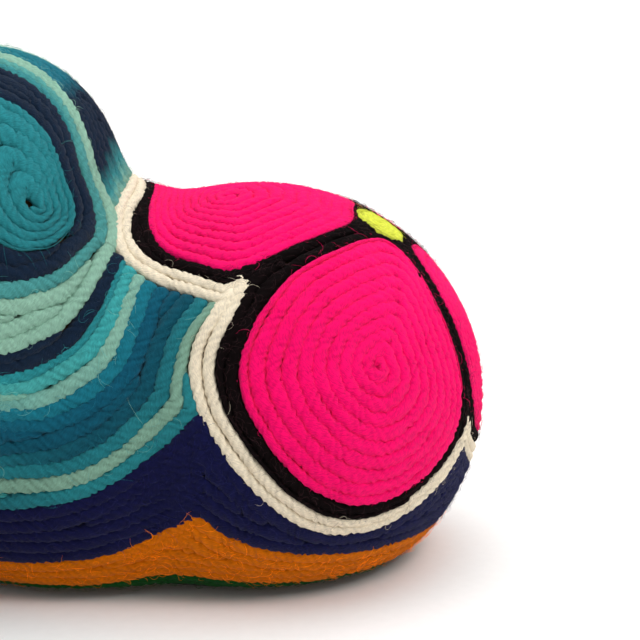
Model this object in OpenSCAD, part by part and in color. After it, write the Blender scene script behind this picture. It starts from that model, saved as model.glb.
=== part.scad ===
// Yarn-covered cat head: carved wooden core, a wax layer and fields of yarn pressed into it.
// The origin is the middle of the foot, the nose points to +X and +Z is up.
// Every yarn field is laid out by guide points that are dropped onto one skin.

/* [Head] */
// Length from the back of the skull to the tip of the nose
head_len = 169; // [135:1:205]
// Width across the cheeks
head_w = 108; // [88:1:130]
// Height from the table to the top of the brow
head_h = 107; // [88:1:130]

/* [Layers] */
// Thickness of the yarn once it is pressed into the wax
yarn_t = 2.4; // [1.6:0.1:3.2]
// Thickness of the wax under the yarn
wax_t = 0.8; // [0.5:0.1:1.6]
// Thickness of the felt foot
foot_t = 1.5; // [1.2:0.1:3]
// Clear gap left between two neighbouring fields
seam = 0.35; // [0.25:0.05:0.6]

/* [Flower] */
// Width of the black outline round each petal
black_w = 2.5; // [1.8:0.1:3.5]
// Width of the two cream strands together
cream_w = 4; // [3:0.2:5]
// Size of the lime centre, as an angle on the nose
lime_a = 8; // [6:0.5:10]

/* [Eye rings] */
// Where the navy, teal and pale rings start, as shares of the way out
ring_1 = 0.44; // [0.36:0.01:0.5]
ring_2 = 0.7; // [0.62:0.01:0.74]
ring_3 = 0.85; // [0.8:0.01:0.9]

/* [Ears] */
// Height of an ear above the skin
ear_h = 21; // [15:1:28]
// Width of an ear where it meets the head
ear_w = 30; // [22:1:36]
// Thickness of an ear where it meets the head
ear_t = 13; // [10:0.5:16]

/* [Hidden] */

// The shape is drawn once at a base size and stretched to the three sizes above.
stretch = [head_len / 169, head_w / 108, head_h / 107];
// Point inside the head that every skin direction is measured from
heart = [-8, 0, 40];
// Centre of the muzzle, which the flower is laid out round
muzzle = [44, 0, 34];
// Each lobe is a centre and three half sizes: muzzle, brow, skull, jaw
lobes = [
    [[37.5, 0, 33.5], [47, 46.5, 44.4]],
    [[-18, 0, 77], [27, 36, 29]],
    [[-33.5, 0, 52.5], [51, 54, 53.5]],
    [[2.5, 0, 32.5], [53.5, 44.5, 46.5]]
];
// How tightly the lobes and the flat underside are blended; larger is tighter
knit = 26;
sole = 24;
// Tilt of the flower's axis forward of upright
tilt = 27;
axis_n = [sin(tilt), 0, cos(tilt)];
axis_1 = [cos(tilt), 0, -sin(tilt)];
axis_2 = [0, -1, 0];
// The flower's centre sits a little to one side of the middle of the nose
drift = 4;
// Petals: start and end bearing, reach at each, bulge, roundness at each,
// and the reach and bearing of the coil's middle
petals = [
    [30, 124, 75, 66, 35.5, 0.9, 0.35, 60, 77],
    [124, 236, 66, 66, 0, 1, 1, 44, 170],
    [236, 330, 66, 75, 35.5, 0.35, 0.9, 60, 283],
    [330, 390, 75, 75, 9, 0.8, 0.8, 46, 360]
];
// Back edge of the top petal, from the left notch to the middle of the dip and over
notch = nose(petals[1][2], petals[1][0]);
dip_half = [
    notch, [23.2, -32.1, 63.5], [15, -28.5, 66.5],
    [10.6, -25.2, 70.7], [10, -17.5, 76.3], [10.8, -9, 78.8]
];
dip = concat(dip_half, [[11.3, 0, 79.5]], [for (i = [5:-1:0]) flip_y(dip_half[i])]);
// Shares of that edge's length between which the eye rings touch it
cheek_t = 0.25;
brow_t = 0.333;
// Bearings of the petal seams where they leave the lime centre
inner = [46, 112, 248, 314, 406];

// Outline of one eye's rings, from the front corner over the brow and back
eye_loop = [
    dip_half[3], dip_half[4], [5.9, -14.7, 85.7], [0.5, -9.3, 97.3],
    [-7, -5.5, 103], [-19, -2.8, 106.5], [-32, -3, 103.5], [-37, -16, 96],
    [-36, -32, 82], [-28, -44, 64], [-14, -46, 54], [-2, -41.5, 55.5], [5.1, -36, 61.2]
];
eye_mid = [-3.5, -31.5, 77];
// How far the rings crowd inwards on the cheek's side of the eye
crowd = 0.25;
// Share of the way across the cheek at which each colour starts, at the front and behind
front_f = [0, 0.13, 0.32, 0.42, 0.9, 0.985, 1];
cheek_f = [0, 0.14, 0.29, 0.405, 0.84, 0.92, 1];

teal = [0.16, 0.53, 0.58];
mint = [0.6, 0.76, 0.67];
navy = [0.08, 0.11, 0.24];
sea = [0.06, 0.38, 0.51];
pink = [0.98, 0.08, 0.4];
black = [0.08, 0.06, 0.07];
cream = [0.92, 0.87, 0.78];
lime = [0.8, 0.88, 0.24];
royal = [0.1, 0.12, 0.35];
orange = [0.84, 0.48, 0.04];
green = [0.04, 0.27, 0.08];
wood = [0.72, 0.56, 0.36];
wax = [0.45, 0.33, 0.14];
felt = [0.2, 0.2, 0.2];

function unit(v) = v / norm(v);
function mix(a, b, t) = a + (b - a) * t;
function total(v) = v * [for (x = v) 1];
function flip_y(p) = [p.x, -p.y, p.z];

// Distance from the heart to the far side of one lobe
function far(d, e) =
    let (
        o = [for (i = [0:2]) (heart[i] - e[0][i]) / e[1][i]],
        v = [for (i = [0:2]) d[i] / e[1][i]],
        a = v * v,
        b = v * o,
        q = b * b - a * (o * o - 1)
    )
    q > 0 ? max(0, (sqrt(q) - b) / a) : 0;

// Distance from the heart to the blended skin
function reach(d) =
    let (
        r = pow(total([for (e = lobes) pow(far(d, e), knit)]), 1 / knit),
        low = max(-d.z, 0) / heart.z
    )
    pow(pow(r, -sole) + pow(low, sole), -1 / sole);

// A guide point dropped onto the base skin, and one at real size sunk below it
function drop(g) = let (d = unit(g - heart)) heart + d * reach(d);
function real(p) = [for (i = [0:2]) p[i] * stretch[i]];
function sunk(g, depth) =
    let (p = real(drop(g)))
    p - unit(p - real(heart)) * depth;

// Where a ray from the muzzle's centre leaves the skin
function leave(o, d, r = 42, n = 9) =
    let (p = o + d * r)
    n == 0 ? p : leave(o, d, r - (norm(p - heart) - reach(unit(p - heart))) / 0.92, n - 1);
function nose(a, w) =
    leave(
        muzzle - [0, drift * max(0, 1 - a / 60), 0],
        cos(a) * axis_n + sin(a) * (cos(w) * axis_1 + sin(w) * axis_2)
    );

// The skin point at an azimuth and a height
function level(az, z, lo = -89.5, hi = 60, n = 18) =
    let (
        e = (lo + hi) / 2,
        d = [cos(e) * cos(az), cos(e) * sin(az), sin(e)],
        p = heart + d * reach(d)
    )
    n == 0 ? p : p.z > z ? level(az, z, lo, e, n - 1) : level(az, z, e, hi, n - 1);

// A smooth curve through guide points, read at u
function bend(p, u, shut = true) =
    let (
        n = len(p),
        i = shut ? floor(u) : min(floor(u), n - 2),
        t = u - i,
        q = [for (k = [-1:2]) p[shut ? (i + k + n) % n : max(0, min(n - 1, i + k))]]
    )
    0.5 * (2 * q[1] + (q[2] - q[0]) * t + (2 * q[0] - 5 * q[1] + 4 * q[2] - q[3]) * t * t
    + (3 * q[1] - q[0] - 3 * q[2] + q[3]) * t * t * t);

function soften(p, n) =
    n == 0 ? p : soften([
        for (i = [0:len(p) - 1])
            (p[(i + len(p) - 1) % len(p)] + 2 * p[i] + p[(i + 1) % len(p)]) / 4
    ], n - 1);
function toward(p, q, d) = p + unit(q - p) * d;

// Outer edge of the cream strands along petal k; the top petal's follows the dip
// between muzzle and brow
function edge(k, t) =
    let (p = petals[k])
    k == 1 ? drop(bend(dip, 12 * t, shut = false))
    : nose(
        mix(p[2], p[3], t) + p[4] * pow(sin(180 * t), mix(p[5], p[6], t)),
        mix(p[0], p[1], t)
    );
function coil(k) = nose(petals[k][7], petals[k][8]);
function tip(k) = nose(petals[k][2] - 9, petals[k][0]);
function ease(j, n) = (1 - cos(180 * j / n)) / 2;
arc_n = 20;
rim_out = [for (k = [0:3]) for (j = [0:arc_n - 1]) edge(k, ease(j, arc_n))];
rim_in = [
    for (k = [0:3])
        for (j = [0:arc_n - 1])
            j == 0 ? tip(k) : toward(edge(k, ease(j, arc_n)), coil(k), cream_w)
];
rim_mid = (rim_out + rim_in) / 2;

// Boundary of the black outline of petal k: cream edge, seam, lime edge, seam
function sector(k) = [
    for (j = [0:arc_n - 1]) rim_in[k * arc_n + j],
    for (j = [0:5]) nose(
        mix(petals[k][3] - 9, lime_a, j / 6),
        mix(petals[k][1], inner[k + 1], j / 6)
    ),
    for (j = [0:3]) nose(lime_a, mix(inner[k + 1], inner[k], j / 4)),
    for (j = [0:5]) nose(
        mix(lime_a, petals[k][2] - 9, j / 6),
        mix(inner[k], petals[k][0], j / 6)
    )
];
function petal_loop(k) =
    soften([for (p = sector(k)) toward(p, coil(k), black_w)], 3);

// The cheek, the blue band and the cream strands meet here
meet_t = 0.88;
meet_p = edge(0, meet_t);
function bearing(p) = atan2(p.y - heart.y, p.x - heart.x);
meet = -bearing(meet_p);
// Heights of the seams between the cheek, blue, orange and green fields
function cheek_z(az) = 21 + (meet_p.z - 21) * exp(-max(0, abs(az) - meet) / 13);
function orange_z(az) = 9 + 12.2 * exp(-abs(abs(az) - 51.4) / 10);
function green_z(az) = foot_t + 1.6 + 2.2 * exp(-pow((abs(az) - 50) / 12, 2));

// Moves the outer rows, and the end columns of an open field, in by half a seam
function trim_rows(g) = [
    for (i = [0:len(g) - 1])
        i == 0 ? [for (j = [0:len(g[0]) - 1]) toward(g[0][j], g[1][j], seam / 2)]
        : i == len(g) - 1 ? [for (j = [0:len(g[0]) - 1]) toward(g[i][j], g[i - 1][j], seam / 2)]
        : g[i]
];
function trim_ends(g) = [
    for (r = g) [
        for (j = [0:len(r) - 1])
            j == 0 ? toward(r[0], r[1], seam / 2)
            : j == len(r) - 1 ? toward(r[j], r[j - 1], seam / 2)
            : r[j]
    ]
];

// A field of yarn over a grid of guide points. A shut field runs all the way round;
// a capped one closes on the point mid.
module field(g, shut = false, mid = undef, top = 0, thick = yarn_t) {
    slab(
        [for (r = g) [for (p = r) sunk(p, top)]],
        [for (r = g) [for (p = r) sunk(p, top + thick)]],
        shut,
        is_undef(mid) ? [] : [sunk(mid, top), sunk(mid, top + thick)]
    );
}

// Closed solid between two grids of the same size
module slab(high, low, shut, caps = []) {
    rows = len(high);
    cols = len(high[0]);
    count = rows * cols;
    capped = len(caps) > 0;
    spans = shut ? cols - 1 : cols - 2;
    skin = [
        for (i = [0:rows - 2])
            for (j = [0:spans])
                let (a = i * cols + j, b = i * cols + (j + 1) % cols)
                each [[a, b, b + cols], [a, b + cols, a + cols]]
    ];
    under = [for (f = skin) [f[2] + count, f[1] + count, f[0] + count]];
    last = (rows - 1) * cols;
    sides = [
        for (j = [0:spans])
            let (a = j, b = (j + 1) % cols)
            each [
                if (!capped) each [[b, a, a + count], [b, a + count, b + count]],
                each [
                    [last + a, last + b, last + b + count],
                    [last + a, last + b + count, last + a + count]
                ]
            ]
    ];
    ends = shut ? [] : [
        for (i = [0:rows - 2])
            let (a = i * cols, b = a + cols - 1)
            each [
                [a, a + cols, a + cols + count], [a, a + cols + count, a + count],
                [b + cols, b, b + count], [b + cols, b + count, b + cols + count]
            ]
    ];
    lids = !capped ? [] : [
        for (j = [0:spans])
            let (a = j, b = (j + 1) % cols)
            each [[2 * count, b, a], [2 * count + 1, a + count, b + count]]
    ];
    faces = concat(skin, under, sides, ends, lids);
    v = concat([for (r = high) each r], [for (r = low) each r], caps);
    probe = skin[floor(len(skin) / 2)];
    out = cross(v[probe[1]] - v[probe[0]], v[probe[2]] - v[probe[0]])
        * (v[probe[0]] - v[probe[0] + count]);
    polyhedron(v, out < 0 ? faces : [for (f = faces) [f[2], f[1], f[0]]]);
}

// A coil of yarn filling a loop
module coiled(loop, mid, steps = 4) {
    tight = [for (p = loop) toward(p, mid, seam / 2)];
    field([for (i = [1:steps]) [for (p = tight) mix(mid, p, i / steps)]], shut = true, mid = mid);
}

module strip(a, b, steps = 1) {
    field(trim_rows([for (i = [0:steps]) mix(a, b, i / steps)]), shut = true);
}

// The core and the wax share one grid of directions; the wax stops above the underside
core_cols = 48;
wax_n = 17;
under_n = 5;
wax_gap = 0.6;
function wax_end(a) =
    let (p = level(a, foot_t + 3) - heart)
    asin(p.z / norm(p));
function core_dir(i, j) =
    let (
        a = 360 * j / core_cols,
        low = wax_end(a),
        e = i <= wax_n ? mix(90, low, i / wax_n) : mix(low, -90, (i - wax_n) / (under_n + 1))
    )
    [cos(e) * cos(a), cos(e) * sin(a), sin(e)];
function core_point(d) =
    let (p = sunk(heart + d, yarn_t + wax_gap + wax_t + 0.15))
    p.z >= foot_t ? p
    : mix(real(heart), p, (real(heart).z - foot_t) / (real(heart).z - p.z));

module carved_core() {
    rows = wax_n + under_n;
    last = rows * core_cols;
    v = concat(
        [for (i = [1:rows]) for (j = [0:core_cols - 1]) core_point(core_dir(i, j))],
        [core_point([0, 0, 1]), core_point([0, 0, -1])]
    );
    faces = [
        for (j = [0:core_cols - 1])
            let (k = (j + 1) % core_cols, w = last - core_cols)
            each [
                [last, k, j],
                [last + 1, w + j, w + k],
                for (i = [0:rows - 2])
                    let (a = i * core_cols)
                    each [[a + j, a + k, a + k + core_cols], [a + j, a + k + core_cols, a + j + core_cols]]
            ]
    ];
    color(wood) polyhedron(v, faces);
}

module wax_layer() {
    g = [for (i = [1:wax_n]) [for (j = [0:core_cols - 1]) heart + core_dir(i, j)]];
    color(wax) field(g, shut = true, mid = heart + [0, 0, 1], top = yarn_t + wax_gap, thick = wax_t);
}

// The foot is set well in from the yarn's lower edge
foot_inset = 10;
function foot_edge(a) =
    let (p = real(level(a, foot_t + 0.6)), q = [p.x - real(heart).x, p.y])
    [p.x, p.y] - unit(q) * foot_inset;

module felt_foot() {
    color(felt) linear_extrude(foot_t - 0.05) polygon([for (i = [0:71]) foot_edge(i * 5)]);
}

module lime_centre() {
    color(lime) coiled([for (i = [0:23]) nose(lime_a, i * 15)], nose(0, 0), 2);
}

module petal(k) {
    color(pink) coiled(petal_loop(k), coil(k), 5);
}

module outline(k) {
    color(black) strip(sector(k), petal_loop(k));
}

// How far the outermost ring draws in where it lies against the cream strands
nip = 0.035;
// A ring of points at a share of the way from the eye's middle to its outline
function eye_line(share) = [
    for (i = [0:38])
        let (
            u = i / 3,
            side = u > 8 ? pow(max(0, sin(36 * (u - 8))), 0.7) : 0,
            front = max(0, 1 - abs(u - 0.5) / 1.5)
        )
        mix(eye_mid, bend(eye_loop, u), share == 1 ? 1 - nip * front : share * (1 - crowd * side))
];

module eye_ring(a, b, tint) {
    color(tint) strip(eye_line(a), eye_line(b));
}

module eye_core() {
    color(teal) coiled(eye_line(ring_1), eye_mid, 3);
}

// The cheek runs from the cream strands back round the head to the middle of the nape
cream_cols = 6;
nape_cols = 18;
cheek_cols = cream_cols + nape_cols;
nape_top = [-32, 0, 103.6];
function cheek_top(j) =
    j <= 21 ? bend(eye_loop, 13 - j / 3) : mix(eye_loop[6], nape_top, (j - 21) / 3);
function cheek_low(j) =
    j <= cream_cols ? edge(0, mix(1, meet_t, j / cream_cols))
    : let (az = mix(-meet, -180, (j - cream_cols) / nape_cols)) level(az, cheek_z(az));
function cheek_at(j, f) =
    let (
        flat = mix(drop(cheek_top(j)), cheek_low(j), f),
        pull = pow(max(0, 1 - j / cream_cols), 2),
        plain = mix(drop(cheek_top(0)), cheek_low(0), f)
    )
    flat + (edge(1, cheek_t * (1 - f)) - plain) * pull;
function cheek_share(k, j) = mix(front_f[k], cheek_f[k], min(1, j / cream_cols));

module cheek(k, tint, steps) {
    g = [
        for (i = [0:steps]) [
            for (j = [0:cheek_cols])
                drop(cheek_at(j, mix(cheek_share(k, j), cheek_share(k + 1, j), i / steps)))
        ]
    ];
    color(tint) field(trim_ends(trim_rows(g)));
}

brow_cols = 15;
function brow_at(j, f) =
    let (
        p = drop(bend(eye_loop, 1 + j / 3)),
        pull = pow(max(0, 1 - j / 6), 2),
        a = drop(eye_loop[1]),
        corner = edge(1, mix(brow_t, 1 - brow_t, f))
    )
    mix(p, flip_y(p), f) + (corner - mix(a, flip_y(a), f)) * pull;

module brow_rows() {
    g = [for (i = [0:6]) [for (j = [0:brow_cols]) drop(brow_at(j, i / 6))]];
    color(teal) field(trim_ends(trim_rows(g)));
}

// Top edge of the blue band: the cheeks' lower edge, then the cream strands under the nose
blue_top = concat(
    [for (j = [0:nape_cols - 1]) cheek_low(cheek_cols - j)],
    [for (j = [0:13]) edge(0, mix(meet_t, 0, j / 14))],
    [for (j = [0:15]) edge(3, 1 - j / 16)],
    [for (j = [0:13]) edge(2, mix(1, 1 - meet_t, j / 14))],
    [for (j = [0:nape_cols - 1]) flip_y(cheek_low(cream_cols + j))]
);
band_az = [for (p = blue_top) bearing(p)];
orange_top = [for (a = band_az) level(a, orange_z(a))];
green_top = [for (a = band_az) level(a, green_z(a))];
green_low = [for (a = band_az) level(a, foot_t + 0.6)];

module blue_band() {
    color(royal) strip(blue_top, orange_top, 4);
}

module orange_band() {
    color(orange) strip(orange_top, green_top, 3);
}

module green_band() {
    color(green) strip(green_top, green_low);
}

// Ears stand on the yarn: rings of points on the skin drawn up to a rounded rim
ear_at = [-40, -29, 85];
ear_up = unit([-0.1, -0.5, 0.85]);
ear_side = unit(cross(ear_up, [1, 0.35, 0]));
ear_fore = cross(ear_side, ear_up);
ear_steps = 6;
// Clear gap between an ear and the yarn under it
ear_gap = 0.3;
function ear_point(a, t, grow, shrink = 1) =
    let (
        fall = sqrt(max(0, 1 - t * t)),
        wide = (ear_w / 2 - yarn_t + grow) * mix(0.15, 1, fall),
        deep = (ear_t / 2 - yarn_t + grow) * mix(0.4, 1, fall) * shrink,
        p = real(drop(ear_at)) + ear_side * cos(a) * wide + ear_fore * sin(a) * deep,
        base = sunk([for (i = [0:2]) p[i] / stretch[i]], -ear_gap)
    )
    base + ear_up * (ear_h - yarn_t + grow) * t;
function ear_grid(grow, from, to, n, closed) = [
    for (k = [0:ear_steps])
        [for (i = [0:n]) ear_point(mix(from, to, i / n), k / ear_steps, grow)],
    if (closed) [for (i = [0:n]) ear_point(mix(from, to, i / n), 1, grow, 0.05)]
];

// The ear body closes on the middle of its base and on its tip
module ear_body() {
    g = ear_grid(0, 0, 345, 23, false);
    cols = 24;
    last = ear_steps * cols;
    v = concat([for (r = g) each r], [ear_point(0, 0, -ear_w / 2 + yarn_t), ear_point(90, 1, 0, 0)]);
    color(wood) polyhedron(v, [
        for (j = [0:cols - 1])
            let (k = (j + 1) % cols)
            each [
                [last + cols, k, j],
                [last + cols + 1, last + j, last + k],
                for (i = [0:ear_steps - 1])
                    let (a = i * cols)
                    each [[a + j, a + k, a + k + cols], [a + j, a + k + cols, a + j + cols]]
            ]
    ]);
}

// Yarn over the front or the back half of an ear
module ear_cover(from, tint) {
    color(tint) slab(
        ear_grid(yarn_t, from + 3, from + 177, 12, true),
        ear_grid(0.15, from + 3, from + 177, 12, true),
        false
    );
}

carved_core();
wax_layer();
felt_foot();
lime_centre();
petal(0);  // petal_left
petal(1);  // petal_top
petal(2);  // petal_right
petal(3);  // petal_front
outline(0);  // outline_left
outline(1);  // outline_top
outline(2);  // outline_right
outline(3);  // outline_front
color(cream) strip(rim_out, rim_mid);  // cream_strand_outer
color(cream) strip(rim_mid, rim_in);  // cream_strand_inner
eye_core();  // eye_core_left
mirror([0, 1, 0]) eye_core();  // eye_core_right
eye_ring(ring_1, ring_2, navy);  // eye_navy_left
mirror([0, 1, 0]) eye_ring(ring_1, ring_2, navy);  // eye_navy_right
eye_ring(ring_2, ring_3, teal);  // eye_teal_left
mirror([0, 1, 0]) eye_ring(ring_2, ring_3, teal);  // eye_teal_right
eye_ring(ring_3, 1, mint);  // eye_pale_left
mirror([0, 1, 0]) eye_ring(ring_3, 1, mint);  // eye_pale_right
cheek(0, navy, 2);  // cheek_navy_left
mirror([0, 1, 0]) cheek(0, navy, 2);  // cheek_navy_right
cheek(1, teal, 2);  // cheek_teal_left
mirror([0, 1, 0]) cheek(1, teal, 2);  // cheek_teal_right
cheek(2, mint, 2);  // cheek_mint_left
mirror([0, 1, 0]) cheek(2, mint, 2);  // cheek_mint_right
cheek(3, sea, 4);  // cheek_blue_left
mirror([0, 1, 0]) cheek(3, sea, 4);  // cheek_blue_right
cheek(4, mint, 1);  // cheek_pale_left
mirror([0, 1, 0]) cheek(4, mint, 1);  // cheek_pale_right
cheek(5, teal, 1);  // cheek_edge_left
mirror([0, 1, 0]) cheek(5, teal, 1);  // cheek_edge_right
ear_body();  // ear_left
mirror([0, 1, 0]) ear_body();  // ear_right
ear_cover(0, mint);  // ear_front_left
mirror([0, 1, 0]) ear_cover(0, mint);  // ear_front_right
ear_cover(180, navy);  // ear_back_left
mirror([0, 1, 0]) ear_cover(180, navy);  // ear_back_right
brow_rows();
blue_band();
orange_band();
green_band();
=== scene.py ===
import math

import bpy
import numpy as np
from bpy.props import FloatProperty, IntProperty, PointerProperty, StringProperty
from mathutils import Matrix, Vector


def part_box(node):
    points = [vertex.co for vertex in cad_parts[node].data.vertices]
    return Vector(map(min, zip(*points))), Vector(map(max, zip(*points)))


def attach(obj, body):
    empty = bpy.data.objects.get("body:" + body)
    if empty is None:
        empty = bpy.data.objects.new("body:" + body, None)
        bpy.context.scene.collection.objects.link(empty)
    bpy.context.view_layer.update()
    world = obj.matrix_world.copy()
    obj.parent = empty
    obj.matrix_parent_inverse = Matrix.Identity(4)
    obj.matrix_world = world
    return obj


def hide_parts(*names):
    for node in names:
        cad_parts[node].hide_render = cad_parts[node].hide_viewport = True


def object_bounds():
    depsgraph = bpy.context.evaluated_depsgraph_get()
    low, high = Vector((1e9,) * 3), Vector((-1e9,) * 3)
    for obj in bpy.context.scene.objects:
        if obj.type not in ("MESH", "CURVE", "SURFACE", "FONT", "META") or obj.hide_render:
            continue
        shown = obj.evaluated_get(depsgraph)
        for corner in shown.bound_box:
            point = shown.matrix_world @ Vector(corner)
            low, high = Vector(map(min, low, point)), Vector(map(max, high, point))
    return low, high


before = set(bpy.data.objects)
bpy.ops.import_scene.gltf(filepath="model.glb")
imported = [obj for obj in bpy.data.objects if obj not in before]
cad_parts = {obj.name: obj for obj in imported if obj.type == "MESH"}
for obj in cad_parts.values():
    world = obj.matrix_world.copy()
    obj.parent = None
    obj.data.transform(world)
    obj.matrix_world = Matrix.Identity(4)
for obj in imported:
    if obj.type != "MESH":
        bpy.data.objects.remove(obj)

bl_info = {
    "name": "Yarn Covered Cat Head",
    "version": (1, 0, 0),
    "blender": (4, 5, 0),
    "location": "View3D > Sidebar > Yarn Head",
    "description": "Lays coloured yarn over a carved cat head, field by field",
    "category": "Object",
}

MM = 0.001
CAD_BOX = [list(v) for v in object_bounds()]

# ---------------------------------------------------------------- the head's skin

# Point inside the head that every skin direction is measured from, in millimetres
HEART = np.array([-8.0, 0.0, 40.0])
MUZZLE = np.array([44.0, 0.0, 34.0])
# Centre and half sizes of the muzzle, brow, skull and jaw
LOBES = [
    ((37.5, 0, 33.5), (47, 46.5, 44.4)),
    ((-18, 0, 77), (27, 36, 29)),
    ((-33.5, 0, 52.5), (51, 54, 53.5)),
    ((2.5, 0, 32.5), (53.5, 44.5, 46.5)),
]
KNIT, SOLE = 26, 24
TILT = math.radians(27)
AXIS_N = np.array([math.sin(TILT), 0, math.cos(TILT)])
AXIS_1 = np.array([math.cos(TILT), 0, -math.sin(TILT)])
AXIS_2 = np.array([0.0, -1.0, 0.0])
DRIFT = 4.0
MEET_T = 0.88
LIME_REACH = 8.0
# Guide points along one petal's edge
ARC = 20
# How far inside the notch between two petals the cream strands turn, in degrees
TIP_BACK = 9
# Lower edge of the yarn above the foot's top, in millimetres
FOOT_LIP = 0.6

# Start and end bearing, reach at each, bulge, roundness at each,
# then the reach and bearing of the coil's middle
PETALS = [
    (30, 124, 75, 66, 35.5, 0.9, 0.35, 60, 77),
    (124, 236, 66, 66, 0, 1, 1, 44, 170),
    (236, 330, 66, 75, 35.5, 0.35, 0.9, 60, 283),
    (330, 390, 75, 75, 9, 0.8, 0.8, 46, 360),
]
INNER = [46, 112, 248, 314, 406]
EYE_LOOP = np.array(
    [
        (10.6, -25.2, 70.7), (10, -17.5, 76.3), (5.9, -14.7, 85.7), (0.5, -9.3, 97.3),
        (-7, -5.5, 103), (-19, -2.8, 106.5), (-32, -3, 103.5), (-37, -16, 96),
        (-36, -32, 82), (-28, -44, 64), (-14, -46, 54), (-2, -41.5, 55.5), (5.1, -36, 61.2),
    ],
    float,
)
EYE_MID = np.array([-3.5, -31.5, 77.0])
RING_1, RING_2, RING_3 = 0.44, 0.7, 0.85
CROWD = 0.25
CHEEK_T, BROW_T = 0.25, 0.333
FRONT_F = [0, 0.13, 0.32, 0.42, 0.9, 0.985, 1]
CHEEK_F = [0, 0.14, 0.29, 0.405, 0.84, 0.92, 1]
CREAM_W, BLACK_W = 4.0, 2.5
FOOT_T = 1.5


# The base shape is drawn at one size and stretched to what the frame measures. These are
# its length, its width across the cheeks and the height of its brow, in millimetres
BASE_LENGTH, BASE_WIDTH, BASE_BROW = 168.552, 107.793, 106.9
STRETCH = np.array(
    [
        (CAD_BOX[1][0] - CAD_BOX[0][0]) / MM / BASE_LENGTH,
        (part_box("cheek_blue_right")[1].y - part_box("cheek_blue_left")[0].y) / MM / BASE_WIDTH,
        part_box("brow_rows")[1].z / MM / BASE_BROW,
    ]
)


def unit(v):
    """Vectors scaled to length one."""
    return v / np.maximum(np.linalg.norm(v, axis=-1, keepdims=True), 1e-12)


def reach(d):
    """Distance from the heart to the skin along unit directions."""
    total = 0
    for centre, half in LOBES:
        o = (HEART - np.array(centre)) / np.array(half)
        v = d / np.array(half)
        a = (v * v).sum(-1)
        b = (v * o).sum(-1)
        q = b * b - a * ((o * o).sum() - 1)
        far = np.where(q > 0, (np.sqrt(np.maximum(q, 0)) - b) / a, 0)
        total = total + np.maximum(far, 0) ** KNIT
    low = np.maximum(-d[..., 2], 0) / HEART[2]
    return (total ** (-SOLE / KNIT) + low**SOLE) ** (-1 / SOLE)


def drop(g):
    """Guide points dropped onto the skin."""
    d = unit(np.asarray(g, float) - HEART)
    return HEART + d * reach(d)[..., None]


def skin_normal(p):
    """Outward normals of the stretched skin at base skin points."""

    def outside(x):
        return np.linalg.norm(x - HEART, axis=-1) - reach(unit(x - HEART))

    step = 0.4
    slope = [outside(p + step * e) - outside(p - step * e) for e in np.eye(3)]
    return unit(np.stack(slope, -1) / STRETCH)


def nose(a, w):
    """Skin points at a reach and a bearing round the flower's axis, both in degrees."""
    a, w = np.broadcast_arrays(np.asarray(a, float), np.asarray(w, float))
    o = np.zeros((*a.shape, 3)) + MUZZLE
    o[..., 1] -= DRIFT * np.maximum(0, 1 - a / 60)
    ra, rw = np.radians(a)[..., None], np.radians(w)[..., None]
    d = np.cos(ra) * AXIS_N + np.sin(ra) * (np.cos(rw) * AXIS_1 + np.sin(rw) * AXIS_2)
    r = np.full(a.shape, 42.0)
    for _ in range(9):
        p = o + d * r[..., None] - HEART
        r = r - (np.linalg.norm(p, axis=-1) - reach(unit(p))) / 0.92
    return o + d * r[..., None]


def level(az, z):
    """Skin points at azimuths and heights."""
    az, z = np.broadcast_arrays(np.asarray(az, float), np.asarray(z, float))
    lo, hi = np.full(az.shape, -89.5), np.full(az.shape, 60.0)
    ra = np.radians(az)
    for _ in range(22):
        e = np.radians((lo + hi) / 2)
        d = np.stack([np.cos(e) * np.cos(ra), np.cos(e) * np.sin(ra), np.sin(e)], -1)
        p = HEART + d * reach(d)[..., None]
        high = p[..., 2] > z
        hi = np.where(high, (lo + hi) / 2, hi)
        lo = np.where(high, lo, (lo + hi) / 2)
    return p


def bend(p, u, shut=True):
    """A smooth curve through guide points, read at u."""
    p, u = np.asarray(p, float), np.asarray(u, float)
    n = len(p)
    i = np.floor(u).astype(int) if shut else np.clip(np.floor(u).astype(int), 0, n - 2)
    t = (u - i)[..., None]
    q = [p[(i + k) % n if shut else np.clip(i + k, 0, n - 1)] for k in (-1, 0, 1, 2)]
    return 0.5 * (
        2 * q[1]
        + (q[2] - q[0]) * t
        + (2 * q[0] - 5 * q[1] + 4 * q[2] - q[3]) * t**2
        + (3 * q[1] - q[0] - 3 * q[2] + q[3]) * t**3
    )


def mix(a, b, t):
    """The point a share t of the way from a to b."""
    return a + (b - a) * t


def toward(p, q, d):
    """Points moved a distance d from p towards q."""
    return p + unit(q - p) * d


def edge(k, t):
    """Outer edge of the cream strands along petal k."""
    t = np.asarray(t, float)
    if k == 1:
        return drop(bend(DIP, 12 * t, shut=False))
    p = PETALS[k]
    swell = np.maximum(np.sin(np.pi * t), 0) ** mix(p[5], p[6], t)
    return nose(mix(p[2], p[3], t) + p[4] * swell, mix(p[0], p[1], t))


def coil_mid(k):
    """Middle of petal k's coil."""
    return nose(PETALS[k][7], PETALS[k][8])


# Back edge of the top petal, from the left notch to the middle of the dip and over
DIP_HALF = [
    nose(PETALS[1][2], PETALS[1][0]), (23.2, -32.1, 63.5), (15, -28.5, 66.5),
    (10.6, -25.2, 70.7), (10, -17.5, 76.3), (10.8, -9, 78.8),
]
DIP = np.array([*DIP_HALF, (11.3, 0, 79.5), *[(x, -y, z) for x, y, z in DIP_HALF[::-1]]])


def ease(n):
    """Shares from 0 that start and stop slowly, so corners get more points."""
    return (1 - np.cos(np.pi * np.arange(n) / n)) / 2


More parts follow.
